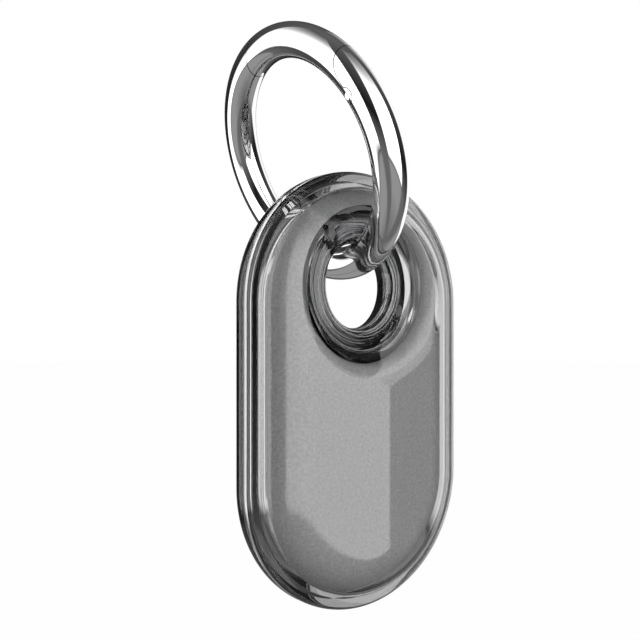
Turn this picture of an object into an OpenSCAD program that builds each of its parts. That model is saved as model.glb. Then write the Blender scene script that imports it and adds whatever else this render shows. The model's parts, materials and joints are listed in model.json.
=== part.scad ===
// A clear two-part case with a tracker tag in it, hung on a round ring with a sprung gate.
// The frame's origin is the ring's centre. Z is up, and the case's front faces -Y.

/* [Tag] */
// Width of the tag
tag_w = 30.1; // [29.1:0.1:32]
// Length of the tag
tag_len = 53.74; // [51.8:0.1:59]
// Thickness of the tag
tag_t = 8; // [7.9:0.05:8.6]
// Distance of the flat of the tag's faces from its edge
tag_flat_in = 5.35; // [5.2:0.05:5.5]
// Radius of the tag's faces between their flat and the edge
tag_dome_r = 6.3; // [6.2:0.05:6.6]
// Wall of the tag's two covers
tag_wall = 1.2; // [1.1:0.05:1.25]
// Radius of the hole through the tag
tag_hole_r = 9.7; // [9.5:0.05:10]
// Rounding of the tag's edge round the hole
hole_round = 2.8; // [2.6:0.05:2.85]
// Height of the hole's centre above the middle of the tag's round end
hole_above = 2.28; // [1.9:0.01:2.5]
// Distance of the joint between the covers in front of the tag's middle
cover_split = 2; // [1.95:0.05:2.05]
// Thickness of the front cover's lip
lip_t = 0.5; // [0.4:0.05:0.6]
// Depth of the front cover's lip
lip_depth = 0.5; // [0.4:0.05:0.55]
// Thickness of the seal under the lip
seal_t = 0.25; // [0.2:0.05:0.3]
// Thickness of the front cover where it flexes over the button
flex_t = 0.5; // [0.4:0.05:0.6]

/* [Case] */
// Clear wall all round the tag
rim_wall = 2.7; // [2.6:0.05:3.3]
// Thickness of the case's rim, front to back
rim_t = 5.72; // [5.2:0.05:6.2]
// Rounding of the rim
rim_round = 2.3; // [1.8:0.1:2.5]
// Wall over the tag's faces
face_wall = 1.18; // [1:0.02:1.5]
// Clearance between the tag and the case
fit_gap = 0.12; // [0.08:0.01:0.2]
// Smallest radius of the hole through the case
throat_r = 5.75; // [5.6:0.05:5.9]
// Wall of the case at the throat
throat_wall = 1; // [0.8:0.05:1.2]
// Radius of the rounded wall of the hole
funnel_r = 4.6; // [4.4:0.1:4.8]
// Share of a quarter turn that the rounded wall takes
funnel_share = 0.8; // [0.7:0.05:0.9]
// Width of the tongue that joins the two shells
tongue_w = 0.8; // [0.6:0.05:0.9]
// Height of the tongue
tongue_h = 1; // [0.8:0.05:1.2]
// Distance of the tongue from the outside of the rim
tongue_in = 1; // [0.8:0.05:1.1]
// Clearance of the tongue in its groove
tongue_gap = 0.06; // [0.03:0.01:0.1]

/* [Hole liner] */
// Width of the liner, front to back
liner_t = 2.3; // [2:0.05:2.35]
// Running clearance of the liner in the tag
liner_gap = 0.1; // [0.08:0.01:0.12]

/* [Ring] */
// Inner diameter of the ring
ring_in_d = 26; // [25.6:0.1:28]
// Diameter of the ring's wire
wire_d = 4.5; // [4.4:0.05:4.6]
// Angle at which the ring leans from upright
ring_lean = 22; // [15:1:30]
// Clearance between the wire and the roof of the case's hole
hang_gap = 0.3; // [0.25:0.05:0.5]
// Distance of the case's middle in front of the ring's lowest point
hang_front = 1.77; // [1.2:0.01:1.8]
// Distance of the case's middle to the side of the ring's lowest point
hang_side = 0.25; // [0:0.01:0.3]

/* [Gate] */
// Place of the hinge, counted from the ring's top to its front
hinge_angle = 66; // [62:1:70]
// Place of the latch, counted from the ring's top to its back
latch_angle = 14.5; // [12:0.5:17]
// Distance of the hinge pin inside the wire's centre line
pin_in = 0.6; // [0.5:0.05:0.7]
// Radius of the hinge pin
pin_r = 0.5; // [0.45:0.01:0.55]
// Running clearance of the gate on the pin
pin_gap = 0.04; // [0.02:0.01:0.06]
// Radius of the knuckles round the pin
knuckle_r = 1; // [0.95:0.01:1.05]
// Radius of the cheek's rounded nose over the gate's tail
nose_r = 4.83; // [4.6:0.01:5]
// Distance from the pin to where the nose meets the cheek's straight edge
nose_back = 1.7; // [1.6:0.05:1.8]
// Height of the cheek's straight edge above the pin
cheek_up = 0.5; // [0.45:0.01:0.55]
// Gap between the gate and the ring
seam_gap = 0.12; // [0.08:0.01:0.16]
// Thickness of the tongue between the gate's knuckles
hinge_tongue_t = 1.4; // [1.3:0.05:1.5]
// Clearance on each side of the tongue
hinge_side_gap = 0.08; // [0.05:0.01:0.1]
// Angle that the gate opens
gate_open = 32; // [28:1:33]
// Radius of the plunger
plunger_r = 0.5; // [0.45:0.01:0.52]
// Length of the plunger
plunger_len = 2.45; // [2.2:0.05:2.6]
// Radial clearance of the plunger in its bore
plunger_gap = 0.05; // [0.04:0.01:0.08]
// Depth of the plunger's bore, from the hinge pin
bore_end = 7; // [6.8:0.1:7.2]
// Radius of the spring's wire
spring_wire_r = 0.1; // [0.08:0.01:0.11]
// Number of turns of the spring
spring_turns = 7; // [5:1:8]

/* [Battery] */
// Radius of the coin cell
cell_r = 10; // [9.7:0.1:10]
// Thickness of the coin cell
cell_t = 3.2; // [3:0.05:3.2]
// Wall of the battery tray beside the cell
tray_wall = 0.55; // [0.5:0.05:0.6]
// Floor of the battery tray
tray_floor = 0.2; // [0.15:0.05:0.2]
// Clearance round the battery tray
tray_gap = 0.05; // [0.03:0.01:0.06]
// Clearance round the coin cell
cell_gap = 0.05; // [0.03:0.01:0.08]
// Width of the tray's seal
tray_seal_w = 0.6; // [0.5:0.05:0.7]
// Depth of the tray's seal
tray_seal_t = 0.3; // [0.25:0.05:0.35]
// Plastic left outside the tray's seal
tray_seal_cover = 0.2; // [0.15:0.05:0.3]

/* [Electronics] */
// Thickness of the circuit board
board_t = 0.6; // [0.5:0.05:0.65]
// Gap between the coin cell and the circuit board
board_gap = 0.35; // [0.3:0.05:0.4]
// Gap round the circuit board
board_side_gap = 0.15; // [0.1:0.05:0.3]
// Height of the board's ends above the middle of the case
board_up = 5; // [4.5:0.1:5.5]
// Width of the radio chip
radio_w = 6; // [5:0.1:6]
// Width of the ranging chip
ranging_w = 4.5; // [4:0.1:4.5]
// Height of the chips
chip_h = 0.7; // [0.6:0.05:0.75]
// Width of the push switch
switch_w = 4.5; // [4.2:0.1:5]
// Height of the push switch
switch_h = 0.7; // [0.65:0.01:0.72]
// Floor of the push switch
switch_floor = 0.1; // [0.08:0.01:0.12]
// Radius of the switch's stem
stem_r = 1; // [0.8:0.1:1.2]
// Height of the stem above the switch
stem_up = 0.15; // [0.1:0.01:0.18]
// Clearance round the button's moving pieces
button_gap = 0.1; // [0.06:0.01:0.12]
// Travel of the button
press_travel = 0.25; // [0.15:0.01:0.25]
// Radius of the pad that the front cover presses
pad_r = 4.5; // [4:0.1:5]
// Gap between the pad and the switch
pad_up = 0.35; // [0.35:0.01:0.4]
// Gap round the near-field coil
coil_side_gap = 0.6; // [0.4:0.1:1]
// Width of the near-field coil's winding
coil_w = 3.2; // [2.6:0.1:3.6]
// Thickness of the near-field coil
coil_t = 0.15; // [0.1:0.01:0.2]
// Width of the sounder
sounder_w = 10; // [9:0.5:10]
// Gap between the sounder and the walls above and below it
sounder_gap = 0.435; // [0.3:0.005:0.5]
// Depth of the sounder behind the board
sounder_t = 2.4; // [2:0.1:2.8]
// Width of an antenna
antenna_w = 1.4; // [1:0.1:1.6]
// Length of an antenna
antenna_len = 4.6; // [4:0.1:5]
// Thickness of a contact's leaf
leaf_t = 0.15; // [0.1:0.01:0.2]
// Length of a contact's leaf
leaf_len = 3; // [2.4:0.1:3.4]

/* [Hidden] */
$fn = 96;

// Ring
wire_r = wire_d / 2;
ring_rc = (ring_in_d + wire_d) / 2;

// Case and tag
end_up = (tag_len - tag_w) / 2;
hole_up = end_up + hole_above;
case_w = tag_w + 2 * rim_wall;
case_len = tag_len + 2 * rim_wall;
face_out = tag_t / 2 + fit_gap + face_wall;
hole_edge_z = tag_t / 2 - hole_round;
funnel_c = throat_r + funnel_r;
funnel_a = 90 * funnel_share;
funnel_crease = 6;
case_pos = [
    ring_rc * sin(ring_lean) + hang_side,
    -hang_front,
    -ring_rc * cos(ring_lean) - (throat_r - wire_r - hang_gap) - hole_up
];
liner_in_r = throat_r + throat_wall + fit_gap;
liner_out_r = tag_hole_r - liner_gap;
liner_bend_r = liner_in_r + liner_t / 2;

// Inside of the tag
inner_z = tag_t / 2 - tag_wall;
tray_low = -inner_z + tray_gap;
tray_half = cell_r + tray_wall;
cell_low = tray_low + tray_floor;
cell_top = cell_low + cell_t;
rim_step_share = 0.06;
rim_top = cell_top - rim_step_share * cell_t;
cap_share = 0.89;
board_low = cell_top + board_gap;
board_top = board_low + board_t;
switch_top = board_top + switch_h;
stem_top = switch_top + stem_up;
pad_low = switch_top + pad_up;
pad_top = tag_t / 2 - flex_t - button_gap;

// Lip of the front cover: the tag's inner wall is a quarter circle, so its inset follows from the height
lip_out = tag_t / 2 - sqrt(pow(inner_z, 2) - pow(cover_split, 2)) + tongue_gap;
lip_in = lip_out + lip_t;
lip_low = cover_split - lip_depth;
lip_high = sqrt(pow(inner_z, 2) - pow(tag_t / 2 - lip_in, 2)) + tongue_gap;
seal_low = lip_low - seal_t;
board_in = lip_in + board_side_gap;
board_half = tag_w / 2 - board_in;
coil_out_r = (tag_w - tag_t) / 2 - coil_side_gap;
coil_in_r = coil_out_r - coil_w;
sounder_low = tray_half - end_up + sounder_gap;
sounder_high = hole_up - tag_hole_r - tag_wall - sounder_gap;

// Places on the board, as shares of its half width, from the middle of the coin cell
radio_shares = [-0.53, 0.79];
ranging_shares = [0.56, 0.79];
crystal_shares = [0, 0.88];
bluetooth_shares = [-0.91, 1.14];
ranging_antenna_shares = [0.8, 1.26];
passive_shares = [-0.16, 0.64];
passive_step_shares = [0.107, 0.09];
passive_size_shares = [0.07, 0.04];
crystal_size_shares = [0.17, 0.11];
crystal_h_share = 0.7;
contact_shares = [0.668, 0.668];

// Gate
pin_rc = ring_rc - pin_in;
slot_back_share = 1.55;
plunger_drop_share = 0.65;
tip_share = 0.6;
slot_back = slot_back_share * knuckle_r;
plunger_drop = plunger_drop_share * knuckle_r;
plunger_tip = knuckle_r + plunger_gap;
slot_half_t = hinge_tongue_t / 2 + hinge_side_gap;
pin_half = sqrt(pow(wire_r, 2) - pow(pin_in + pin_r, 2));
latch_r = norm([
    ring_rc * cos(latch_angle) - pin_rc * cos(hinge_angle),
    ring_rc * sin(latch_angle) + pin_rc * sin(hinge_angle)
]);

// Spring
spring_sides = 6;
spring_steps = 12;
spring_r = plunger_r - spring_wire_r;
spring_from = -bore_end + plunger_gap + spring_wire_r;
spring_to = -plunger_tip - plunger_len - plunger_gap - spring_wire_r;

// Frames

module case_frame() {
    translate(case_pos)
        rotate([90, 0, 0])
            children();
}

// The ring's own plane: X runs to its top, Y to its front, Z along its axis
module ring_frame() {
    rotate([180, -90 - ring_lean, 0])
        children();
}

// The hinge pin: X runs outwards, Y along the wire, away from the gate
module pin_frame() {
    ring_frame()
        rotate([0, 0, hinge_angle])
            translate([pin_rc, 0, 0])
                children();
}

module at_hole() {
    translate([0, hole_up, 0])
        children();
}

module at_cell() {
    translate([0, -end_up, 0])
        children();
}

module on_board(shares) {
    at_cell()
        translate(board_half * [shares[0], shares[1], 0])
            children();
}

// Shared shapes

// Sweeps a profile round the outline of a pill: its X is the distance from the middle, its Y the height
module pill_sweep() {
    for (turn = [0, 180])
        rotate([0, 0, turn])
            translate([0, end_up, 0])
                rotate_extrude(angle = 180)
                    children();
    translate([0, end_up, 0])
        rotate([90, 0, 0])
            linear_extrude(height = 2 * end_up) {
                children();
                mirror([1, 0])
                    children();
            }
}

// Half of a slab's section, with rounded edges
module slab_profile(half_w, half_t, round_r) {
    flat_half = half_t - round_r;
    translate([0, -half_t])
        square([half_w - round_r, 2 * half_t]);
    if (flat_half > 0)
        translate([0, -flat_half])
            square([half_w, 2 * flat_half]);
    for (side = [-1, 1])
        translate([half_w - round_r, side * flat_half])
            circle(r = round_r);
}

// Outline of a pill, drawn in from the tag's edge
module pill_outline(inset) {
    square([tag_w - 2 * inset, 2 * end_up], center = true);
    for (side = [-1, 1])
        translate([0, side * end_up])
            circle(r = tag_w / 2 - inset);
}

// A flat band that follows the tag's outline
module pill_band(inset_out, inset_in, low, high) {
    translate([0, 0, low])
        linear_extrude(height = high - low)
            difference() {
                pill_outline(inset_out);
                pill_outline(inset_in);
            }
}

module round_bar(radius, low, high) {
    translate([0, 0, low])
        cylinder(r = radius, h = high - low);
}

module block(width, length, low, high) {
    translate([-width / 2, -length / 2, low])
        cube([width, length, high - low]);
}

// Half space in front of a height
module front_of(level) {
    translate([-case_w, -case_len, level])
        cube([2 * case_w, 2 * case_len, case_w]);
}

// Half space behind a height
module behind(level) {
    mirror([0, 0, 1])
        front_of(-level);
}

// Tag's shape

// What the hole through the tag leaves out, drawn back by a gap
module hole_core(gap) {
    at_hole()
        rotate_extrude()
            difference() {
                translate([0, -tag_t])
                    square([tag_hole_r + hole_round, 2 * tag_t]);
                for (side = [-1, 1])
                    translate([tag_hole_r + hole_round, side * hole_edge_z])
                        circle(r = hole_round + gap);
                translate([tag_hole_r - gap, -hole_edge_z])
                    square([hole_round + gap, 2 * hole_edge_z]);
            }
}

// Half of a section with flat faces that dome down to the edge, grown by a gap
module dome_half(gap) {
    flat_r = tag_w / 2 - tag_flat_in;
    translate([0, -case_w])
        square([flat_r, case_w + tag_t / 2 + gap]);
    translate([flat_r, tag_t / 2 - tag_dome_r])
        circle(r = tag_dome_r + gap);
}

module dome_profile(gap) {
    intersection() {
        dome_half(gap);
        mirror([0, 1])
            dome_half(gap);
    }
}

// The tag's outer shape, grown by a gap: its domes meet a narrow upright side
module tag_shape(gap) {
    difference() {
        pill_sweep()
            intersection() {
                dome_profile(gap);
                translate([0, -tag_t])
                    square([tag_w / 2 + gap, 2 * tag_t]);
            }
        hole_core(gap);
    }
}

// The space inside the tag's walls, all round
module tag_inside() {
    inset = tag_wall;
    difference() {
        pill_sweep()
            slab_profile(tag_w / 2 - inset, tag_t / 2 - inset, tag_t / 2 - inset);
        hole_core(-inset);
    }
}

// The liner's shape, grown by a gap: a flat ring with a rounded inner edge
module liner_shape(gap) {
    half_t = liner_t / 2 + gap;
    at_hole()
        rotate_extrude() {
            translate([liner_bend_r, -half_t])
                square([liner_out_r - liner_bend_r + gap, 2 * half_t]);
            translate([liner_bend_r, 0])
                circle(r = half_t);
        }
}

// The part of the tag that is hollow: above the hole's middle its loop is solid
module tag_hollow() {
    intersection() {
        tag_inside();
        translate([-case_w, hole_up - 2 * case_len, -case_w])
            cube([2 * case_w, 2 * case_len, 2 * case_w]);
    }
}

// Case

// The rounded way through the case, cut out of both shells: a round wall, and a cone out to the face
module funnel_cut() {
    face_cut = face_out + face_wall;
    meet = [funnel_c - funnel_r * cos(funnel_a), funnel_r * sin(funnel_a)];
    slope = [sin(funnel_a - funnel_crease), cos(funnel_a - funnel_crease)];
    at_hole()
        rotate_extrude()
            for (side = [0, 1])
                mirror([0, side])
                    difference() {
                        polygon([
                            [0, 0],
                            [funnel_c, 0],
                            meet - funnel_r * sin(funnel_crease) * slope,
                            meet + (face_cut - meet[1]) / slope[1] * slope,
                            [0, face_cut]
                        ]);
                        translate([funnel_c, 0])
                            circle(r = funnel_r);
                    }
}

// Both shells in one, with the tag's space in them
module case_shape() {
    difference() {
        pill_sweep() {
            slab_profile(case_w / 2, rim_t / 2, rim_round);
            dome_profile(face_out - tag_t / 2);
        }
        funnel_cut();
        tag_shape(fit_gap);
        liner_shape(liner_gap);
    }
}

module rim_tongue(gap) {
    pill_band(
        tongue_in - rim_wall - gap,
        tongue_in - rim_wall + tongue_w + gap,
        -gap,
        tongue_h + gap
    );
}

module front_shell() {
    color([0.45, 0.45, 0.46, 0.4])
        case_frame()
            difference() {
                intersection() {
                    case_shape();
                    front_of(0);
                }
                rim_tongue(tongue_gap);
            }
}

module rear_shell() {
    color([0.45, 0.45, 0.46, 0.4])
        case_frame() {
            intersection() {
                case_shape();
                behind(0);
            }
            rim_tongue(0);
        }
}

module hole_liner() {
    color([0.45, 0.45, 0.46, 0.4])
        case_frame()
            liner_shape(0);
}

// Tag's covers

module tag_body() {
    difference() {
        tag_shape(0);
        tag_hollow();
    }
}

// Way of the battery tray, from the middle of the cell out through the tag's end
module tray_way(gap) {
    half = tray_half + gap;
    translate([-half, -end_up - case_len, tray_low - gap])
        cube([2 * half, case_len, cell_top - tray_low + 2 * gap]);
}

// Rails beside the tray, which carry the board
module board_rails() {
    intersection() {
        tag_hollow();
        for (side = [0, 1])
            mirror([side, 0, 0])
                translate([tray_half + tray_gap, -end_up - cell_r / 2, -inner_z])
                    cube([tag_w, cell_r, board_low + inner_z]);
    }
}

// Shelf all round the rear cover, which carries the seal
module seal_shelf() {
    intersection() {
        tag_hollow();
        pill_band(0, lip_in, cell_top + tray_gap, seal_low);
    }
}

module tag_front_cover() {
    color("dimgray")
        case_frame() {
            difference() {
                intersection() {
                    tag_body();
                    front_of(cover_split);
                }
                at_cell()
                    round_bar(pad_r + button_gap, 0, tag_t / 2 - flex_t);
            }
            intersection() {
                pill_band(lip_out, lip_in, lip_low, lip_high);
                translate([-case_w, hole_up - seam_gap - 2 * case_len, 0])
                    cube([2 * case_w, 2 * case_len, case_w]);
            }
        }
}

module tag_rear_cover() {
    color("dimgray")
        case_frame() {
            difference() {
                intersection() {
                    tag_body();
                    behind(cover_split);
                }
                tray_way(tray_gap);
            }
            board_rails();
            seal_shelf();
        }
}

module cover_seal() {
    color("black")
        case_frame()
            intersection() {
                tag_hollow();
                pill_band(lip_out, lip_in, seal_low, lip_low);
            }
}

// Battery

// Groove and seal round the tray's nose
module tray_seal_shape() {
    dome_out = sqrt(pow(tag_dome_r, 2) - pow(inner_z + tag_dome_r - tag_t / 2, 2));
    seal_r = tag_w / 2 - tag_flat_in + dome_out - tray_seal_cover - tray_seal_w;
    intersection() {
        difference() {
            tray_way(tray_gap);
            tray_way(tray_gap - tray_seal_t);
        }
        at_cell()
            difference() {
                round_bar(seal_r + tray_seal_w, -tag_t, tag_t);
                round_bar(seal_r, -tag_t, tag_t);
            }
    }
}

module battery_tray() {
    color("gray")
        case_frame()
            difference() {
                intersection() {
                    tag_shape(0);
                    union() {
                        tray_way(0);
                        at_cell()
                            round_bar(tray_half, tray_low, cell_top);
                    }
                }
                at_cell()
                    round_bar(cell_r + cell_gap, cell_low, tag_t);
                tray_seal_shape();
            }
}

module tray_seal() {
    color("black")
        case_frame()
            tray_seal_shape();
}

module coin_cell() {
    color("silver")
        case_frame()
            at_cell() {
                round_bar(cell_r, cell_low, rim_top);
                round_bar(cap_share * cell_r, cell_low, cell_top);
            }
}

// A leaf under the board with a round foot on the cell
module contact(foot_r, foot_low) {
    block(leaf_len, leaf_len / 2, board_low - leaf_t, board_low);
    round_bar(foot_r, foot_low, board_low);
}

module positive_contact() {
    color("goldenrod")
        case_frame()
            at_cell()
                translate(cell_r * [contact_shares[0], contact_shares[1], 0])
                    rotate([0, 0, -45])
                        contact((1 - norm(contact_shares)) * cell_r / 2, rim_top);
}

module negative_contact() {
    color("goldenrod")
        case_frame()
            at_cell()
                contact(leaf_len / 4, cell_top);
}

// Electronics

module circuit_board() {
    color("darkgreen")
        case_frame()
            translate([0, 0, board_low])
                linear_extrude(height = board_t)
                    difference() {
                        intersection() {
                            pill_outline(board_in);
                            translate([-case_w, board_up - 2 * case_len])
                                square([2 * case_w, 2 * case_len]);
                        }
                        at_hole()
                            circle(r = tag_hole_r + tag_wall + board_side_gap);
                    }
}

module radio_chip() {
    color("black")
        case_frame()
            on_board(radio_shares)
                block(radio_w, radio_w, board_top, board_top + chip_h);
}

module ranging_chip() {
    color("black")
        case_frame()
            on_board(ranging_shares)
                block(ranging_w, ranging_w, board_top, board_top + chip_h);
}

module clock_crystal() {
    size = board_half * crystal_size_shares;
    color("silver")
        case_frame()
            on_board(crystal_shares)
                block(size[0], size[1], board_top, board_top + crystal_h_share * chip_h);
}

module board_passives() {
    size = board_half * passive_size_shares;
    color("tan")
        case_frame()
            for (column = [0 : 3], row = [0, 1])
                on_board([
                    passive_shares[0] + column * passive_step_shares[0],
                    passive_shares[1] + row * passive_step_shares[1]
                ])
                    block(size[0], size[1], board_top, board_top + size[1]);
}

module bluetooth_antenna() {
    color("white")
        case_frame()
            on_board(bluetooth_shares)
                block(antenna_w, antenna_len, board_top, board_top + chip_h);
}

module ranging_antenna() {
    color("white")
        case_frame()
            on_board(ranging_antenna_shares)
                block(2 * antenna_w, antenna_len, board_top, board_top + chip_h);
}

module near_field_coil() {
    color("peru")
        case_frame()
            at_cell()
                difference() {
                    round_bar(coil_out_r, inner_z - coil_t, inner_z);
                    round_bar(coil_in_r, 0, tag_t);
                }
}

module sounder() {
    color("black")
        case_frame()
            translate([0, (sounder_low + sounder_high) / 2, 0])
                block(sounder_w, sounder_high - sounder_low, board_low - sounder_t, board_low);
}

module push_switch() {
    color("silver")
        case_frame()
            at_cell()
                difference() {
                    block(switch_w, switch_w, board_top, switch_top);
                    round_bar(stem_r + button_gap, board_top + switch_floor, tag_t);
                }
}

module switch_stem() {
    color("black")
        case_frame()
            at_cell()
                round_bar(stem_r, board_top + switch_floor + press_travel + tongue_gap, stem_top);
}

module button_pad() {
    color("black")
        case_frame()
            at_cell() {
                round_bar(stem_r, stem_top, pad_top);
                round_bar(pad_r, pad_low, pad_top);
            }
}

// Ring and gate

module torus() {
    rotate_extrude()
        translate([ring_rc, 0])
            circle(r = wire_r);
}

// A flat shape in the ring's plane, as deep as the wire
module through_wire() {
    translate([0, 0, -wire_d])
        linear_extrude(height = 2 * wire_d)
            children();
}

// The cheek over the gate's tail, with its rounded nose
module cheek_plan(gap) {
    translate([cheek_up + nose_r, -nose_back])
        circle(r = nose_r + gap);
    translate([cheek_up - gap, -nose_back])
        square([2 * nose_r, 2 * nose_r]);
}

// The gate's side of the ring, up to the latch
module gate_side(radius) {
    intersection() {
        circle(r = radius);
        translate([-radius, -radius])
            square([2 * radius, radius]);
    }
}

module gate_plan() {
    difference() {
        gate_side(latch_r);
        cheek_plan(seam_gap);
    }
    circle(r = knuckle_r);
}

// What the ring leaves free for the gate and for its swing
module gate_room_plan() {
    swing = gate_open + latch_angle / 2;
    difference() {
        gate_side(latch_r + seam_gap);
        cheek_plan(0);
    }
    circle(r = knuckle_r + seam_gap);
    polygon([
        [0, 0],
        [-wire_d, 0],
        [-wire_d * cos(swing), wire_d * sin(swing)]
    ]);
}

module hinge_tongue() {
    translate([0, 0, -hinge_tongue_t / 2])
        linear_extrude(height = hinge_tongue_t) {
            circle(r = knuckle_r);
            translate([-knuckle_r, -knuckle_r])
                square([knuckle_r, knuckle_r]);
            translate([0, -knuckle_r])
                square([cheek_up + knuckle_r, 2 * knuckle_r]);
        }
}

module pin_bar(radius) {
    round_bar(radius, -wire_d, wire_d);
}

// A bar along the plunger's bore, between two distances from the hinge pin
module bore_bar(radius, tip_r, from, to) {
    translate([-plunger_drop, from, 0])
        rotate([-90, 0, 0])
            cylinder(r1 = radius, r2 = tip_r, h = to - from);
}

module ring_body() {
    color("gainsboro")
        difference() {
            union() {
                difference() {
                    ring_frame()
                        torus();
                    pin_frame()
                        through_wire()
                            gate_room_plan();
                }
                pin_frame()
                    hinge_tongue();
            }
            pin_frame()
                pin_bar(pin_r);
        }
}

module ring_gate() {
    color("gainsboro")
        difference() {
            intersection() {
                ring_frame()
                    torus();
                pin_frame()
                    through_wire()
                        gate_plan();
            }
            pin_frame() {
                translate([-wire_d, -slot_back, -slot_half_t])
                    cube([2 * wire_d, slot_back + wire_d, 2 * slot_half_t]);
                bore_bar(plunger_r + plunger_gap, plunger_r + plunger_gap, -bore_end, 0);
                pin_bar(pin_r + pin_gap);
            }
        }
}

module gate_hinge_pin() {
    color("silver")
        pin_frame()
            round_bar(pin_r, -pin_half, pin_half);
}

module gate_plunger() {
    tip_len = plunger_r / 2;
    color("silver")
        pin_frame() {
            bore_bar(plunger_r, plunger_r, -plunger_tip - plunger_len, -plunger_tip - tip_len);
            bore_bar(plunger_r, tip_share * plunger_r, -plunger_tip - tip_len, -plunger_tip);
        }
}

// Point of the spring's wire: its place along the coil, and its place round the wire
function spring_point(step, side) =
    let (
        turn = 360 * step / spring_steps,
        round = 360 * side / spring_sides,
        radius = spring_r + spring_wire_r * cos(round),
        along = spring_from + (spring_to - spring_from) * step / (spring_turns * spring_steps)
    )
    [
        radius * cos(turn) - plunger_drop,
        along + spring_wire_r * sin(round),
        radius * sin(turn)
    ];

module gate_spring() {
    last = spring_turns * spring_steps;
    points = [for (step = [0 : last], side = [0 : spring_sides - 1]) spring_point(step, side)];
    sides = [
        for (step = [0 : last - 1], side = [0 : spring_sides - 1])
            let (next = (side + 1) % spring_sides, low = step * spring_sides, high = low + spring_sides)
            each [
                [low + side, high + side, high + next],
                [low + side, high + next, low + next]
            ]
    ];
    start = [for (side = [0 : spring_sides - 1]) side];
    end = [for (side = [spring_sides - 1 : -1 : 0]) last * spring_sides + side];
    color("silver")
        pin_frame()
            polyhedron(points, concat(sides, [start, end]));
}

ring_body();
ring_gate();
gate_hinge_pin();
gate_plunger();
gate_spring();
front_shell();
rear_shell();
hole_liner();
tag_front_cover();
tag_rear_cover();
cover_seal();
battery_tray();
tray_seal();
coin_cell();
positive_contact();
negative_contact();
circuit_board();
radio_chip();
ranging_chip();
clock_crystal();
board_passives();
bluetooth_antenna();
ranging_antenna();
near_field_coil();
sounder();
push_switch();
switch_stem();
button_pad();
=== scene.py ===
"""Looks of a clear case with a tracker tag in it, hung on a polished ring with a sprung gate.

Shapes are worked out in millimetres, in the case's own frame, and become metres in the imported
model's frame when their meshes are made.
"""

import json
import math

import bpy
import numpy as np
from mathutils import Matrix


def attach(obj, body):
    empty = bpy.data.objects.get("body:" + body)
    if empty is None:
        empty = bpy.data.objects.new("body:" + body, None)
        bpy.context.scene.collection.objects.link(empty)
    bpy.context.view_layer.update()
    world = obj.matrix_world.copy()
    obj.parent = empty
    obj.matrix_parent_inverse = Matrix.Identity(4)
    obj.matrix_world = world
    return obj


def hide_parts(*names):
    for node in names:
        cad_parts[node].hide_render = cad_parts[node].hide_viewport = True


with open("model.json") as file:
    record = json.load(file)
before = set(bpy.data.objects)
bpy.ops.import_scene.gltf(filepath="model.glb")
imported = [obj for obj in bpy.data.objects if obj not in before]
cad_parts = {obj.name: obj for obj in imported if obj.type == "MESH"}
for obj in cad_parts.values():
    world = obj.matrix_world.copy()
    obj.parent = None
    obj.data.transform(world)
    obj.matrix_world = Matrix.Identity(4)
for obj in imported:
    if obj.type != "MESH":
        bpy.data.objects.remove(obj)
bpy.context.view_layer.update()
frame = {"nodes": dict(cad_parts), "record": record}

MM = 0.001
TINY = 1e-9
QUARTER = math.radians(90.0)
FULL_TURN = 360.0


# Sizes shared with the part, in millimetres and degrees

TAG_W = 30.1
END_UP = 11.82
HOLE_UP = 14.1
DOME_FLAT = 9.7
DOME_LOW = 2.3
DOME_R = 7.6
TAG_DOME_R = 6.3
# 0.01 less than the part's, so that the clear shells stay inside the CAD box
RIM_OUT = 17.74
RIM_HALF = 2.86
RIM_ROUND = 2.3
FUNNEL_C = 10.35
FUNNEL_R = 4.6
FUNNEL_TURN = 72.0
TONGUE_IN = 1.0
TONGUE_W = 0.8
TONGUE_H = 1.0
TONGUE_GAP = 0.06
HOLE_R = 9.7
HOLE_ROUND = 2.8
HOLE_EDGE = 1.2
FIT_GAP = 0.12
LINER_HALF = 1.15
LINER_GAP = 0.1
LINER_BEND_R = 8.02
CASE_POS = (5.96275, -1.77, -31.43955)
RING_LEAN = math.radians(22.0)
RING_RC = 15.25
WIRE_R = 2.25


# Directions of the ring

RING_UP = np.array([-math.sin(RING_LEAN), 0.0, math.cos(RING_LEAN)])
RING_FRONT = np.array([0.0, -1.0, 0.0])
RING_AXIS = np.array([math.cos(RING_LEAN), 0.0, math.sin(RING_LEAN)])


# Meshes

def case_to_row(points):
    """Case frame (x right, y up, z to the front) to the row's frame, in metres."""
    points = np.asarray(points, dtype=float)
    x, y, z = points[..., 0], points[..., 1], points[..., 2]
    row = np.stack([x + CASE_POS[0], CASE_POS[1] - z, y + CASE_POS[2]], axis=-1)
    return row * MM


def make_object(name, vertices, faces, material=None, smooth_angle=40.0):
    mesh = bpy.data.meshes.new(name)
    mesh.from_pydata([tuple(v) for v in vertices], [], [tuple(f) for f in faces])
    mesh.validate()
    mesh.shade_smooth()
    if smooth_angle:
        mesh.set_sharp_from_angle(angle=math.radians(smooth_angle))
    mesh.update()
    piece = bpy.data.objects.new(name, mesh)
    bpy.context.scene.collection.objects.link(piece)
    if material:
        mesh.materials.append(material)
    return piece


def grid_faces(rings, sides):
    """Faces of a grid that is closed both ways, as one array of quads."""
    ring, side = np.meshgrid(np.arange(rings), np.arange(sides), indexing="ij")
    next_ring, next_side = (ring + 1) % rings, (side + 1) % sides
    corners = [
        ring * sides + side, next_ring * sides + side,
        next_ring * sides + next_side, ring * sides + next_side,
    ]
    return np.stack(corners, axis=-1).reshape(-1, 4)


def smooth_min(first, second, blend):
    share = np.clip(0.5 + 0.5 * (second - first) / blend, 0.0, 1.0)
    return second * (1.0 - share) + first * share - blend * share * (1.0 - share)


def smooth_max(first, second, blend):
    return -smooth_min(-first, -second, blend)


# Outline of the case, seen from the middle of its hole

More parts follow.
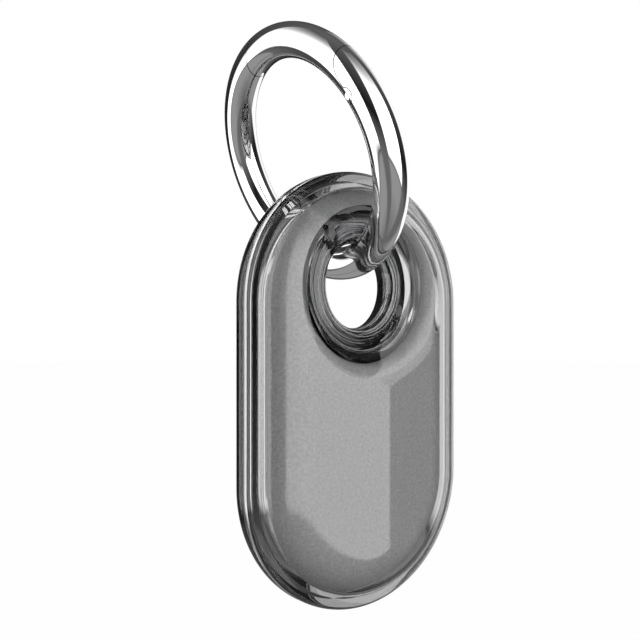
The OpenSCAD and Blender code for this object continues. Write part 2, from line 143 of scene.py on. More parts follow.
def outline_turns(count):
    """Directions from the hole's middle to points spaced evenly along the rim."""
    straight = 2.0 * END_UP
    half_arc = math.pi * RIM_OUT
    total = 2.0 * (straight + half_arc)
    turns = []
    for index in range(count):
        along = total * (index + 0.5) / count
        if along < half_arc:
            angle = along / RIM_OUT
            x, y = RIM_OUT * math.cos(angle), END_UP + RIM_OUT * math.sin(angle)
        elif along < half_arc + straight:
            x, y = -RIM_OUT, END_UP - (along - half_arc)
        elif along < 2.0 * half_arc + straight:
            angle = math.pi + (along - half_arc - straight) / RIM_OUT
            x, y = RIM_OUT * math.cos(angle), -END_UP + RIM_OUT * math.sin(angle)
        else:
            x, y = RIM_OUT, -END_UP + (along - 2.0 * half_arc - straight)
        turns.append(math.atan2(y - HOLE_UP, x))
    return np.array(turns)


def reach(turns, spine_r):
    """Distance from the hole's middle to the pill outline of a radius, in each direction."""
    cos_t, sin_t = np.cos(turns), np.sin(turns)
    to_side = spine_r / np.maximum(np.abs(cos_t), TINY)
    side_y = HOLE_UP + to_side * sin_t
    up = HOLE_UP - END_UP
    to_top = -up * sin_t + np.sqrt(np.maximum(spine_r ** 2 - (up * cos_t) ** 2, 0.0))
    down = HOLE_UP + END_UP
    to_bottom = -down * sin_t + np.sqrt(np.maximum(spine_r ** 2 - (down * cos_t) ** 2, 0.0))
    return np.where(side_y > END_UP, to_top, np.where(side_y < -END_UP, to_bottom, to_side))


def spine_distance(x, y):
    """Distance from the straight line between the middles of the case's two round ends."""
    return np.hypot(x, np.maximum(np.abs(y) - END_UP, 0.0))


# Heights of the case's surfaces above the seam's plane. hole_r is the distance from the hole's
# axis, and spine_r the distance from the spine.

DOME_BLEND = 0.3
FUNNEL_BLEND = 0.5
CAVITY_BLEND = 0.05


def dome_height(spine_r, radius=DOME_R):
    past = np.maximum(spine_r - DOME_FLAT, 0.0)
    return np.sqrt(np.maximum(radius ** 2 - past ** 2, 0.0)) - DOME_LOW


def funnel_height(hole_r):
    turn = math.radians(FUNNEL_TURN)
    meet_r = FUNNEL_C - FUNNEL_R * math.cos(turn)
    meet_z = FUNNEL_R * math.sin(turn)
    arc = np.sqrt(np.maximum(FUNNEL_R ** 2 - (FUNNEL_C - hole_r) ** 2, 0.0))
    return np.where(hole_r < meet_r, arc, meet_z + (hole_r - meet_r) / math.tan(turn))


def tag_hole_height(hole_r, gap):
    """The rounded wall of the tag's hole, with a gap round it."""
    centre = HOLE_R + HOLE_ROUND
    radius = HOLE_ROUND + gap
    inward = np.maximum(centre - hole_r, 0.0)
    return HOLE_EDGE + np.sqrt(np.maximum(radius ** 2 - inward ** 2, 0.0))


def outer_height(hole_r, spine_r):
    """The case's outside: its dome, its flat rim and the funnel of the hole."""
    dome = smooth_max(dome_height(spine_r), np.full_like(spine_r, RIM_HALF), DOME_BLEND)
    return smooth_min(dome, funnel_height(hole_r), FUNNEL_BLEND)


def cavity_height(hole_r, spine_r):
    """The roof of the tag's space, which comes down round the tag's hole."""
    roof = dome_height(spine_r, TAG_DOME_R + FIT_GAP)
    return smooth_min(roof, tag_hole_height(hole_r, FIT_GAP), CAVITY_BLEND)


# The clear shells: how many points and rings, and small sizes in millimetres

SHELL_POINTS = 380
FUNNEL_RINGS = 24
DOME_RINGS = 70
FLANGE_RINGS = 36
RIM_RINGS = 24
CAVITY_RINGS = 80
BEND_RINGS = 12
DOME_RUN = 4.3
DOME_CROWDING = 1.5
SLOT_FLAT = 0.5
SPLIT = 0.01
# Depth into the rim and height, down the groove that shows as the seam
GROOVE_PROFILE = ((0.0, 0.18), (0.01, 0.11), (0.08, SPLIT))
# Distance outwards from the hole's throat and height, from the mating face up to the funnel
THROAT_PROFILE = ((0.05, SPLIT), (0.01, 0.04))


class PillSweep:
    """Rings of points round the case, each at a distance from the hole or from the spine."""

    def __init__(self, count):
        self.turns = outline_turns(count)
        self.rings = []

    def place(self, distance, height):
        x = distance * np.cos(self.turns)
        y = HOLE_UP + distance * np.sin(self.turns)
        self.rings.append(np.stack([x, y, np.broadcast_to(height, x.shape)], axis=-1))

    def hole_ring(self, hole_r, height):
        self.place(np.full_like(self.turns, hole_r), height)

    def rim_ring(self, spine_r, height):
        self.place(reach(self.turns, spine_r), height)

    def between(self, hole_r, spine_r, share, height_of):
        """A ring on the way from a hole ring to a rim ring, at the height of a surface."""
        distance = (1.0 - share) * hole_r + share * reach(self.turns, spine_r)
        x = distance * np.cos(self.turns)
        y = HOLE_UP + distance * np.sin(self.turns)
        self.place(distance, height_of(distance, spine_distance(x, y)))

    def build(self, name, flip, material):
        """The closed solid through the rings, turned to the rear where flip is true."""
        points = np.concatenate(self.rings)
        faces = grid_faces(len(self.rings), len(self.turns))
        if flip:
            points = points * np.array([1.0, 1.0, -1.0])
            faces = faces[:, ::-1]
        return make_object(name, case_to_row(points), faces, material)


def outside_rings(sweep):
    """From the hole's throat up the funnel, over the dome and flange, and round the rim."""
    funnel_turn = math.radians(FUNNEL_TURN)
    for step in range(1, FUNNEL_RINGS + 1):
        turn = funnel_turn * step / FUNNEL_RINGS
        sweep.hole_ring(FUNNEL_C - FUNNEL_R * math.cos(turn), FUNNEL_R * math.sin(turn))
    meet_r = FUNNEL_C - FUNNEL_R * math.cos(funnel_turn)
    dome_end = DOME_FLAT + DOME_RUN
    for step in range(1, DOME_RINGS):
        share = 1.0 - (1.0 - step / DOME_RINGS) ** DOME_CROWDING
        sweep.between(meet_r, dome_end, share, outer_height)
    flange = RIM_OUT - RIM_ROUND
    for spine_r in np.linspace(dome_end, flange, FLANGE_RINGS)[:-1]:
        height = smooth_max(dome_height(spine_r), RIM_HALF, DOME_BLEND)
        sweep.rim_ring(spine_r, float(height))
    for step in range(RIM_RINGS + 1):
        turn = QUARTER * step / RIM_RINGS
        height = RIM_HALF - RIM_ROUND + RIM_ROUND * math.cos(turn)
        sweep.rim_ring(flange + RIM_ROUND * math.sin(turn), height)
    for inward, height in GROOVE_PROFILE:
        sweep.rim_ring(RIM_OUT - inward, height)


def mating_rings(sweep, rear):
    """The tongue on the rear shell's mating face, or the channel for it in the front shell's."""
    gap = 0.0 if rear else TONGUE_GAP
    # The tongue stands up across the seam's plane, so its height is negative in its own shell
    height = -TONGUE_H if rear else TONGUE_H + TONGUE_GAP
    outer = RIM_OUT - TONGUE_IN + gap
    inner = RIM_OUT - TONGUE_IN - TONGUE_W - gap
    sweep.rim_ring(outer, SPLIT)
    sweep.rim_ring(outer, height)
    sweep.rim_ring(inner, height)
    sweep.rim_ring(inner, SPLIT)


def inside_rings(sweep):
    """The tag's space, the slot round the bush, and the way back to the throat."""
    cavity_out = TAG_W / 2.0 + FIT_GAP
    cavity_in = HOLE_R - FIT_GAP
    sweep.rim_ring(cavity_out, SPLIT)
    for step in range(CAVITY_RINGS):
        share = math.sin(QUARTER * (1.0 - step / CAVITY_RINGS)) ** 2
        sweep.between(cavity_in, cavity_out, share, cavity_height)
    slot_top = LINER_HALF + LINER_GAP
    for hole_r in (cavity_in, LINER_BEND_R + SLOT_FLAT, LINER_BEND_R):
        sweep.hole_ring(hole_r, slot_top)
    for step in range(1, BEND_RINGS + 1):
        turn = QUARTER * step / BEND_RINGS
        height = max(slot_top * math.cos(turn), SPLIT)
        sweep.hole_ring(LINER_BEND_R - slot_top * math.sin(turn), height)
    for outward, height in THROAT_PROFILE:
        sweep.hole_ring(FUNNEL_C - FUNNEL_R + outward, height)


def make_shell(name, rear, material):
    sweep = PillSweep(SHELL_POINTS)
    outside_rings(sweep)
    mating_rings(sweep, rear)
    inside_rings(sweep)
    return sweep.build(name, rear, material)


# Ring: how far a point of the wire's surface may lie from its exact round, in millimetres, and
# how closely a face has to look outwards

NEAR_WIRE = 0.02
FACES_OUT = 0.9


def ring_normals(points):
    """Distance from the wire's surface in metres, and direction outwards, at each point."""
    up, front, along = points @ RING_UP, points @ RING_FRONT, points @ RING_AXIS
    round_r = np.maximum(np.hypot(up, front), TINY)
    out = round_r - RING_RC * MM
    outward = np.outer(out * up / round_r, RING_UP) + np.outer(out * front / round_r, RING_FRONT)
    outward += np.outer(along, RING_AXIS)
    length = np.maximum(np.linalg.norm(outward, axis=1), TINY)
    return length - WIRE_R * MM, outward / length[:, None]


def polished_copy(node, name, polished, inner):
    """The node's solid with its wire shaded exactly round, and the faces in its seams dull, with
    painted shade.
    """
    mesh = frame["nodes"][node].data.copy()
    mesh.name = name
    piece = bpy.data.objects.new(name, mesh)
    bpy.context.scene.collection.objects.link(piece)
    mesh.materials.clear()
    mesh.materials.append(polished)
    mesh.materials.append(inner)
    points = np.empty(len(mesh.vertices) * 3)
    mesh.vertices.foreach_get("co", points)
    off, outward = ring_normals(points.reshape(-1, 3))
    normals = [tuple(corner.vector) for corner in mesh.corner_normals]
    for face in mesh.polygons:
        corners = list(face.vertices)
        on_wire = np.abs(off[corners]).max() < NEAR_WIRE * MM
        if on_wire and outward[corners].mean(axis=0) @ np.array(face.normal) > FACES_OUT:
            for loop, corner in zip(face.loop_indices, corners):
                normals[loop] = tuple(outward[corner])
        else:
            # Faces off the wire lie in the seams and take the steel with painted shade
            face.material_index = 1
    mesh.normals_split_custom_set(normals)
    return piece


# Nodes of materials

def new_material(name):
    material = bpy.data.materials.new(name)
    material.use_nodes = True
    tree = material.node_tree
    shader = tree.nodes.get("Principled BSDF")
    return material, tree, shader


def add_node(tree, kind, **values):
    """A new node. Each value goes to the input of that name, or else to the node's setting."""
    node = tree.nodes.new(kind)
    for key, value in values.items():
        if key in node.inputs:
            node.inputs[key].default_value = value
        else:
            setattr(node, key, value)
    return node


def add_math(tree, operation, *values):
    """The result of a Math node. Each value is a number or another node's output."""
    node = add_node(tree, "ShaderNodeMath", operation=operation)
    for slot, value in zip(node.inputs, values):
        if isinstance(value, float):
            slot.default_value = value
        else:
            tree.links.new(value, slot)
    return node.outputs[0]


def add_place(tree):
    """The place on the piece, in metres."""
    return add_node(tree, "ShaderNodeTexCoord").outputs["Object"]


def add_noise(tree, place, scale, detail, roughness=0.5):
    node = add_node(tree, "ShaderNodeTexNoise", Scale=scale, Detail=detail, Roughness=roughness)
    tree.links.new(place, node.inputs["Vector"])
    return node.outputs["Fac"]


def map_value(tree, value, source=(0.0, 1.0), target=(0.0, 1.0)):
    """A value moved from one range to another, and held at the range's ends."""
    node = add_node(tree, "ShaderNodeMapRange")
    node.inputs["From Min"].default_value = source[0]
    node.inputs["From Max"].default_value = source[1]
    node.inputs["To Min"].default_value = target[0]
    node.inputs["To Max"].default_value = target[1]
    tree.links.new(value, node.inputs["Value"])
    return node.outputs["Result"]


def mix_colours(tree, share, first, second):
    """First at share 0 and second at share 1. Each is a colour or another node's output."""
    node = add_node(tree, "ShaderNodeMix", data_type="RGBA")
    tree.links.new(share, node.inputs["Factor"])
    for side, colour in (("A", first), ("B", second)):
        if isinstance(colour, tuple):
            node.inputs[side].default_value = (*colour, 1.0)
        else:
            tree.links.new(colour, node.inputs[side])
    return node.outputs["Result"]


def add_relief(tree, shader, height, strength, depth):
    """Bump on the shader, of a depth in millimetres."""
    bump = add_node(tree, "ShaderNodeBump", Strength=strength, Distance=depth * MM)
    tree.links.new(height, bump.inputs["Height"])
    tree.links.new(bump.outputs["Normal"], shader.inputs["Normal"])


def hole_lines(tree, place, scale):
    """Distance from the hole's axis, and a value that changes only across lines round it."""
    to_axis = add_node(tree, "ShaderNodeVectorMath", operation="SUBTRACT")
    to_axis.inputs[1].default_value = tuple(case_to_row((0.0, HOLE_UP, 0.0)))
    flat = add_node(tree, "ShaderNodeVectorMath", operation="MULTIPLY")
    flat.inputs[1].default_value = (1.0, 0.0, 1.0)
    length = add_node(tree, "ShaderNodeVectorMath", operation="LENGTH")
    deep = add_node(tree, "ShaderNodeSeparateXYZ")
    lines = add_node(tree, "ShaderNodeTexNoise", noise_dimensions="1D", Scale=scale, Detail=1.0)
    tree.links.new(place, to_axis.inputs[0])
    tree.links.new(to_axis.outputs["Vector"], flat.inputs[0])
    tree.links.new(flat.outputs["Vector"], length.inputs[0])
    tree.links.new(place, deep.inputs["Vector"])
    radius = length.outputs["Value"]
    along = add_math(tree, "SUBTRACT", deep.outputs["Y"], radius)
    tree.links.new(along, lines.inputs["W"])
    return radius, lines.outputs["Fac"]


# Polished metal of the ring, and dull steel painted dark for the shade in its seams

CHROME_COLOUR = (0.9, 0.9, 0.905, 1.0)
CHROME_HAZE = (260.0, 5.0)
CHROME_ROUGHNESS = (0.02, 0.06)
# Seam steel colours: painted shade, much darker than bare steel, for the shade in the ring's gaps
SEAM_SHADE_DARK = (0.03, 0.03, 0.032)
SEAM_SHADE_LIGHT = (0.12, 0.12, 0.125)
DULL_ROUGHNESS = 0.5
DULL_GRAIN = (3000.0, 3.0)


def chrome_material():
    material, tree, shader = new_material("polished_chrome")
    shader.inputs["Metallic"].default_value = 1.0
    shader.inputs["Base Color"].default_value = CHROME_COLOUR
    haze = add_noise(tree, add_place(tree), *CHROME_HAZE)
    spread = map_value(tree, haze, target=CHROME_ROUGHNESS)
    tree.links.new(spread, shader.inputs["Roughness"])
    return material


def seam_shade_material():
    material, tree, shader = new_material("dull_steel_painted_seam_shade")
    shader.inputs["Metallic"].default_value = 1.0
    shader.inputs["Roughness"].default_value = DULL_ROUGHNESS
    grain = add_noise(tree, add_place(tree), *DULL_GRAIN)
    # The grain wanders between two dark colours that paint the shade in the seams
    colour = mix_colours(tree, grain, SEAM_SHADE_DARK, SEAM_SHADE_LIGHT)
    tree.links.new(colour, shader.inputs["Base Color"])
    return material


# Clear plastic. Scales of lines and noise are per metre, and depths and distances in millimetres

PLASTIC_IOR = 1.5
SMOKE_COLOUR = (0.45, 0.45, 0.455, 1.0)
SMOKE_DENSITY = 300.0
WEAR_NOISE = (420.0, 6.0, 0.7)
WEAR_SHOWS = (0.55, 0.8)
WEAR_ROUGHNESS = (0.0, 0.06)
RIDGE_LINES = 1800.0
RIDGE_DEPTH = 0.2
RIDGED_R = 9.7
SEAM_HALF = 0.3
# The bush's rings of dark metal in clear plastic are painted reflection and refraction rings
BUSH_LINES = 2300.0
BUSH_DEPTH = 0.15
BUSH_PAINTED_RING_EDGES = (0.3, 0.4)
BUSH_CLEAR = (1.0, 1.0, 1.0)
BUSH_PAINTED_RING_DARK = (0.28, 0.28, 0.285)


def smoked_tree(name):
    """Clear plastic with a grey tint."""
    material, tree, shader = new_material(name)
    shader.inputs["Base Color"].default_value = (1.0, 1.0, 1.0, 1.0)
    shader.inputs["Transmission Weight"].default_value = 1.0
    shader.inputs["Roughness"].default_value = 0.0
    shader.inputs["IOR"].default_value = PLASTIC_IOR
    smoke = add_node(tree, "ShaderNodeVolumeAbsorption")
    smoke.inputs["Color"].default_value = SMOKE_COLOUR
    smoke.inputs["Density"].default_value = SMOKE_DENSITY
    out = tree.nodes.get("Material Output")
    tree.links.new(smoke.outputs["Volume"], out.inputs["Volume"])
    return material, tree, shader


def smoked_material(name, ridged=False):
    """Clear grey plastic with faint wear, and moulded ridges near the hole's seam where asked."""
    material, tree, shader = smoked_tree(name)
    place = add_place(tree)
    wear_marks = add_noise(tree, place, *WEAR_NOISE)
    haze = map_value(tree, wear_marks, WEAR_SHOWS, WEAR_ROUGHNESS)
    tree.links.new(haze, shader.inputs["Roughness"])
    if ridged:
        radius, lines = hole_lines(tree, place, RIDGE_LINES)
        deep = add_node(tree, "ShaderNodeSeparateXYZ")
        tree.links.new(place, deep.inputs["Vector"])
        near_seam = add_math(tree, "COMPARE", deep.outputs["Y"], CASE_POS[1] * MM, SEAM_HALF * MM)
        near_hole = add_math(tree, "LESS_THAN", radius, RIDGED_R * MM)
        there = add_math(tree, "MULTIPLY", near_seam, near_hole)
        raised = add_math(tree, "MULTIPLY", there, lines)
        add_relief(tree, shader, raised, 1.0, RIDGE_DEPTH)
    return material


def painted_ring_bush_material():
    """The bush in the case's hole: grey clear plastic, with rings of dark metal that are painted
    reflection and refraction rings.
    """
    material, tree, shader = smoked_tree("bush_painted_rings")
    lines = hole_lines(tree, add_place(tree), BUSH_LINES)[1]
    # The share of dark metal in each line paints the reflection and refraction rings
    share = map_value(tree, lines, BUSH_PAINTED_RING_EDGES)
    tone = mix_colours(tree, share, BUSH_CLEAR, BUSH_PAINTED_RING_DARK)
    tree.links.new(tone, shader.inputs["Base Color"])
    tree.links.new(share, shader.inputs["Metallic"])
    add_relief(tree, shader, lines, 1.0, BUSH_DEPTH)
    return material


# The tag: a speckled satin face, and dark metal on its hole's wall, with painted reflection rings

TAG_SPECKLE = (3100.0, 1.0, 0.6)
TAG_CONTRAST = (0.3, 0.7)
TAG_DARK = (0.56, 0.56, 0.565)
TAG_LIGHT = (0.74, 0.74, 0.745)
TAG_BUMP = 0.2
TAG_DEPTH = 0.02
TAG_ROUGHNESS = 0.42
# The hole's wall is dark metal, and its light and dark lines are painted reflection rings
HOLE_METAL_ROUGHNESS = 0.2
HOLE_METAL_R = 10.1
HOLE_METAL_FADE = 0.3
HOLE_RING_LINES = 2600.0
HOLE_RING_CONTRAST = (0.45, 0.65)
HOLE_RING_DARK = (0.04, 0.04, 0.042)
HOLE_RING_REFLECTION = (0.7, 0.7, 0.71)


def hole_wall_painted_rings(tree, place):
    """Dark metal with painted reflection rings round the hole, and its share: 1 on the hole's wall.
    """
    radius, lines = hole_lines(tree, place, HOLE_RING_LINES)
    share = map_value(tree, radius, (HOLE_METAL_R * MM, (HOLE_METAL_R - HOLE_METAL_FADE) * MM))
    contrast = map_value(tree, lines, HOLE_RING_CONTRAST)
    return mix_colours(tree, contrast, HOLE_RING_DARK, HOLE_RING_REFLECTION), share


def tag_material():
    material, tree, shader = new_material("satin_grey_tag")
    place = add_place(tree)
    speckle = add_noise(tree, place, *TAG_SPECKLE)
    tone = map_value(tree, speckle, TAG_CONTRAST)
    satin = mix_colours(tree, tone, TAG_DARK, TAG_LIGHT)
    # The hole's wall: dark metal, with lines of painted reflection rings
    turned, share = hole_wall_painted_rings(tree, place)
    surface = mix_colours(tree, share, satin, turned)
    polish = map_value(tree, share, target=(TAG_ROUGHNESS, HOLE_METAL_ROUGHNESS))
    tree.links.new(surface, shader.inputs["Base Color"])
    tree.links.new(share, shader.inputs["Metallic"])
    tree.links.new(polish, shader.inputs["Roughness"])
    add_relief(tree, shader, speckle, TAG_BUMP, TAG_DEPTH)
    return material


# The tag's inner pieces. Per material slot: darkest and lightest colour, metal share, lowest and
# highest roughness, and scale of the grain per metre

INNER_FINISHES = {
    "steel": ((0.5, 0.5, 0.51), (0.72, 0.72, 0.73), 1.0, (0.22, 0.42), 1600.0),
    "seal_rubber": ((0.02, 0.02, 0.02), (0.06, 0.06, 0.06), 0.0, (0.6, 0.85), 2600.0),
    "contact_metal": ((0.72, 0.54, 0.24), (0.86, 0.69, 0.37), 1.0, (0.2, 0.4), 1800.0),
    "board_green": ((0.03, 0.16, 0.07), (0.06, 0.25, 0.12), 0.0, (0.3, 0.5), 1400.0),
    "chip_black": ((0.025, 0.025, 0.025), (0.06, 0.06, 0.06), 0.0, (0.5, 0.75), 3200.0),
    "ceramic_tan": ((0.5, 0.4, 0.26), (0.66, 0.53, 0.37), 0.0, (0.45, 0.65), 3000.0),
    "ceramic_white": ((0.74, 0.74, 0.7), (0.88, 0.88, 0.85), 0.0, (0.4, 0.6), 3000.0),
    "coil_copper": ((0.6, 0.33, 0.14), (0.8, 0.5, 0.25), 1.0, (0.25, 0.45), 2000.0),
}
GRAIN_DETAIL = 3.0
GRAIN_BUMP = 0.15
GRAIN_DEPTH = 0.01


def grained_material(name, dark, light, metallic, roughness, scale):
    """A finish whose colour and roughness wander between two values each, with a fine relief."""
    material, tree, shader = new_material(name)
    shader.inputs["Metallic"].default_value = metallic
    grain = add_noise(tree, add_place(tree), scale, GRAIN_DETAIL)
    tree.links.new(mix_colours(tree, grain, dark, light), shader.inputs["Base Color"])
    tree.links.new(map_value(tree, grain, target=roughness), shader.inputs["Roughness"])
    add_relief(tree, shader, grain, GRAIN_BUMP, GRAIN_DEPTH)
    return material


def wear(node, material):
    """Gives a CAD node another material."""
    for slot in frame["nodes"][node].material_slots:
        slot.material = material


# The pieces

chrome = chrome_material()
smoked = smoked_material("smoked_clear_plastic")
ridged = smoked_material("ridged_clear_plastic", ridged=True)
satin_grey = tag_material()
seam_shaded_steel = seam_shade_material()
inner_finishes = {
    slot: grained_material(slot + "_grained", *finish) for slot, finish in INNER_FINISHES.items()
}

for rear in (False, True):
    node = "rear_shell" if rear else "front_shell"
    shell = make_shell("clear_" + node, rear, smoked if rear else ridged)
    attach(shell, "case")
    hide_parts(node)

for node, body in (("ring_body", "ring"), ("ring_gate", "gate")):
    piece = polished_copy(node, "polished_" + node, chrome, seam_shaded_steel)
    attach(piece, body)
    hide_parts(node)

for node in ("tag_front_cover", "tag_rear_cover", "battery_tray"):
    wear(node, satin_grey)
wear("gate_hinge_pin", chrome)
wear("hole_liner", painted_ring_bush_material())
for part in frame["record"]["subparts"]:
    if part["material_slot"] in inner_finishes:
        wear(part["node"], inner_finishes[part["material_slot"]])


# Studio round the object: three big softboxes, with grey and dark surroundings between them.
# Sizes are in millimetres, turns from -Y towards +X and elevations in degrees, and glows are
# strengths of emission

STUDIO_R = 600.0
STUDIO_MIDDLE = (6.0, 0.0, -12.0)
SOFTBOX_R = 590.0
SOFTBOX_TURNS = {"left": (-152.0, -75.0), "front": (-35.0, 40.6), "right": (82.0, 130.0)}
SOFTBOX_GLOWS = {"left": 2.0, "front": 2.2, "right": 1.1}
SOFTBOX_LOW = -28.0
SOFTBOX_HIGH = 72.0
SOFTBOX_GRID = (25, 50)
SOFTBOX_SOFT = 6.0
SOFTBOX_FADE = 0.0666
SOFTBOX_FADE_FROM = 33.0
CARD_Z = -285.0
CARD_EL = -28.0
CARD_TURNS = ((-180.0, -75.0), (-35.0, 40.6), (82.0, 180.0))
CARD_SOFT = 14.0
CARD_LIFT = 0.165
LIFT_FROM = -88.0
LIFT_SPAN = 40.0
FLATTEST = -1.0
DARKEST = 0.01
CARD_GLOW = 0.141
CARD_POWER = 1.1
ZENITH_GLOW = 0.122
ZENITH_POWER = 0.9
CEILING_EL = 30.0
WALL_COLUMNS = 121
# Lowest and highest elevation, and how many rows of points
WALLS = {
    "studio_card": (-90.0, CARD_EL, 32),
    "studio_ceiling": (CEILING_EL, 90.0, 31),
    "studio_flags": (CARD_EL, CEILING_EL, 30),
}
FLOOR_Z = -300.0
FLOOR_R = 6000.0
FLOOR_CORNERS = 64
FLOOR_COLOUR = (0.93, 0.93, 0.93, 1.0)
FLOOR_WHITE = 0.85
WHITE = (1.0, 1.0, 1.0, 1.0)


def from_studio(turn, elevation, radius):
    """Row place in metres; turn is from -Y towards +X, both angles in degrees."""
    turn, elevation = np.radians(turn), np.radians(elevation)
    place = np.stack(
        [np.cos(elevation) * np.sin(turn), -np.cos(elevation) * np.cos(turn), np.sin(elevation)],
        axis=-1,
    ) * np.asarray(radius)[..., None]
    return (place + np.array(STUDIO_MIDDLE)) * MM


def softbox_glow(side, turn, elevation):
    above = np.maximum(elevation - SOFTBOX_FADE_FROM, 0.0)
    lower_edge = np.clip((elevation - SOFTBOX_LOW) / SOFTBOX_SOFT, 0.0, 1.0)
    left_edge = np.clip((turn - SOFTBOX_TURNS[side][0]) / SOFTBOX_SOFT, 0.0, 1.0)
    return SOFTBOX_GLOWS[side] * np.exp(-SOFTBOX_FADE * above) * lower_edge * left_edge


def softbox_radius(elevation):
    return np.full_like(elevation, SOFTBOX_R)


def under_softbox(turn):
    """1 below a softbox and 0 between two, with soft edges."""
    share = np.zeros_like(turn)
    for low, high in CARD_TURNS:
        for wrap in (-FULL_TURN, 0.0, FULL_TURN):
            edge = np.minimum(turn + wrap - low, high - turn - wrap) / CARD_SOFT + 0.5
            share = np.maximum(share, np.clip(edge, 0.0, 1.0))
    return share


def wall_glow(turn, elevation):
    """Darkest at the horizon, lighter up and down, and lifted on the card below a softbox."""
    down = np.clip(elevation / CARD_EL, 0.0, 1.0) ** CARD_POWER
    up = np.clip(elevation / 90.0, 0.0, 1.0) ** ZENITH_POWER
    below = DARKEST + (CARD_GLOW - DARKEST) * down
    above = DARKEST + (ZENITH_GLOW - DARKEST) * up
    glow = np.where(elevation < 0.0, below, above)
    lift = CARD_LIFT * under_softbox(turn) * np.clip((elevation - LIFT_FROM) / LIFT_SPAN, 0.0, 1.0)
    return glow + np.where(elevation < CARD_EL, lift, 0.0)


def wall_radius(elevation):
    """A ball that is flat below, where the card lies."""
    down = np.sin(np.radians(np.minimum(elevation, FLATTEST)))
    flat = (CARD_Z - STUDIO_MIDDLE[2]) / down
    return np.where(elevation < CARD_EL, np.minimum(flat, STUDIO_R), STUDIO_R)


def empty_tree(owner):
    owner.use_nodes = True
    owner.node_tree.nodes.clear()
    return owner.node_tree


def show_mix(tree, out, share, first, second):
    """The first shader at share 0 and the second at share 1, on the output node."""
    mix = add_node(tree, "ShaderNodeMixShader")
    tree.links.new(share, mix.inputs[0])
    tree.links.new(first.outputs[0], mix.inputs[1])
    tree.links.new(second.outputs[0], mix.inputs[2])
    tree.links.new(mix.outputs[0], out.inputs["Surface"])


def glow_material(name):
    """Light by the mesh's glow, for rays that a surface has reflected, and clear to the others."""
    material = bpy.data.materials.new(name)
    tree = empty_tree(material)
    out = add_node(tree, "ShaderNodeOutputMaterial")
    shine = add_node(tree, "ShaderNodeEmission")
    clear = add_node(tree, "ShaderNodeBsdfTransparent")
    value = add_node(tree, "ShaderNodeAttribute", attribute_name="glow")
    path = add_node(tree, "ShaderNodeLightPath")
    bounces = add_math(tree, "ADD", path.outputs["Glossy Depth"], path.outputs["Diffuse Depth"])
    tree.links.new(value.outputs["Fac"], shine.inputs["Strength"])
    show_mix(tree, out, add_math(tree, "GREATER_THAN", bounces, 0.5), clear, shine)
    material.cycles.emission_sampling = "NONE"
    return material


def glowing_grid(name, turns, elevations, radius_of, glow_of):
    """A curved panel that gives light of its own, out of the camera's sight."""
    turn, elevation = np.meshgrid(turns, elevations, indexing="ij")
    points = from_studio(turn, elevation, radius_of(elevation)).reshape(-1, 3)
    rows, columns = len(turns), len(elevations)
    faces = [
        (i * columns + j, (i + 1) * columns + j, (i + 1) * columns + j + 1, i * columns + j + 1)
        for i in range(rows - 1) for j in range(columns - 1)
    ]
    panel = make_object(name, points, faces, smooth_angle=0.0)
    layer = panel.data.attributes.new("glow", "FLOAT", "POINT")
    layer.data.foreach_set("value", glow_of(turn, elevation).reshape(-1).astype(np.float32))
    panel.data.materials.append(glow_material(name))
    panel.visible_camera = False
    panel.visible_diffuse = False
    panel.visible_shadow = False


def background_rays(tree):
    """1 on camera, glossy and transmission rays, which see the white background."""
    path = add_node(tree, "ShaderNodeLightPath")
    first = add_math(tree, "MAXIMUM", path.outputs["Is Camera Ray"], path.outputs["Is Glossy Ray"])
    return add_math(tree, "MAXIMUM", first, path.outputs["Is Transmission Ray"])


def pale_floor():
    """A floor that is white to the eye but for a share that takes the object's shadow."""
    turns = [2.0 * math.pi * corner / FLOOR_CORNERS for corner in range(FLOOR_CORNERS)]
    points = [
        (FLOOR_R * math.cos(turn) * MM, FLOOR_R * math.sin(turn) * MM, FLOOR_Z * MM)
        for turn in turns
    ]
    floor = make_object("floor", points, [tuple(range(FLOOR_CORNERS))], smooth_angle=0.0)
    material = bpy.data.materials.new("pale_floor")
    tree = empty_tree(material)
    out = add_node(tree, "ShaderNodeOutputMaterial")
    seen = add_node(tree, "ShaderNodeEmission", Color=WHITE, Strength=1.0)
    lit = add_node(tree, "ShaderNodeBsdfDiffuse", Color=FLOOR_COLOUR)
    share = add_math(tree, "MULTIPLY", background_rays(tree), FLOOR_WHITE)
    show_mix(tree, out, share, lit, seen)
    floor.data.materials.append(material)


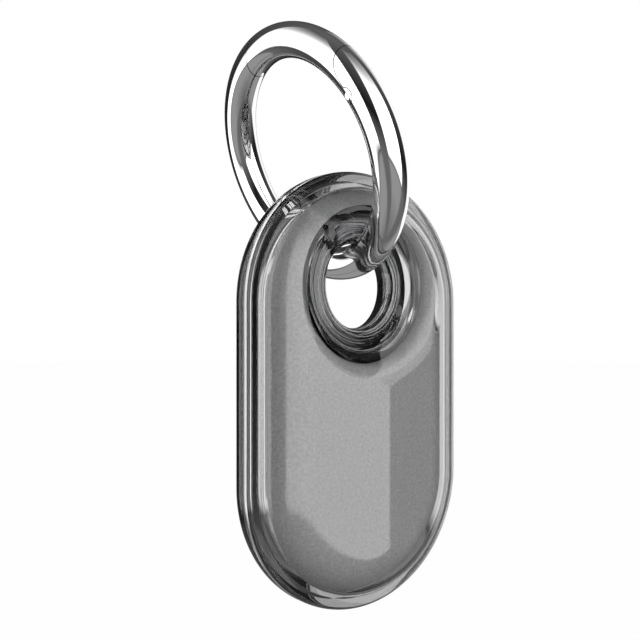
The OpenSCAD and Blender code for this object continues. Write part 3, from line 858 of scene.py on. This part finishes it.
def set_world():
    world = bpy.data.worlds.new("studio")
    bpy.context.scene.world = world
    tree = empty_tree(world)
    out = add_node(tree, "ShaderNodeOutputWorld")
    seen = add_node(tree, "ShaderNodeBackground", Color=WHITE, Strength=1.0)
    light = add_node(tree, "ShaderNodeBackground", Color=WHITE, Strength=1.0)
    show_mix(tree, out, background_rays(tree), light, seen)


for name, (low, high, rows) in WALLS.items():
    glowing_grid(
        name, np.linspace(-180.0, 180.0, WALL_COLUMNS), np.linspace(low, high, rows),
        wall_radius, wall_glow,
    )
for side, (low, high) in SOFTBOX_TURNS.items():
    glowing_grid(
        "softbox_" + side, np.linspace(low, high, SOFTBOX_GRID[0]),
        np.linspace(SOFTBOX_LOW, SOFTBOX_HIGH, SOFTBOX_GRID[1]), softbox_radius,
        lambda turn, elevation: softbox_glow(side, turn, elevation),
    )


# Camera, fitted to the photograph's outlines: its focal length and frame in pixels, its place
# in millimetres and its turn in radians

PHOTO_FOCAL = 882.9
PHOTO_FRAME = 640.0
SENSOR_W = 36.0
CAMERA_PLACE = (-69.15, -96.28, -21.96)
CAMERA_TURN = -0.6345
CLIP_NEAR = 0.001
CLIP_FAR = 20.0
CLEAR_BOUNCES = 24
OTHER_BOUNCES = 16


def set_camera():
    data = bpy.data.cameras.new("photo_camera")
    data.sensor_width = SENSOR_W
    data.lens = SENSOR_W * PHOTO_FOCAL / PHOTO_FRAME
    data.clip_start = CLIP_NEAR
    data.clip_end = CLIP_FAR
    camera = bpy.data.objects.new("photo_camera", data)
    bpy.context.scene.collection.objects.link(camera)
    camera.location = tuple(place * MM for place in CAMERA_PLACE)
    camera.rotation_euler = (QUARTER, 0.0, CAMERA_TURN)
    bpy.context.scene.camera = camera


set_world()
set_camera()
pale_floor()
scene = bpy.context.scene
scene.view_settings.view_transform = "Standard"
scene.cycles.max_bounces = CLEAR_BOUNCES
scene.cycles.glossy_bounces = OTHER_BOUNCES
scene.cycles.transmission_bounces = CLEAR_BOUNCES
scene.cycles.transparent_max_bounces = OTHER_BOUNCES
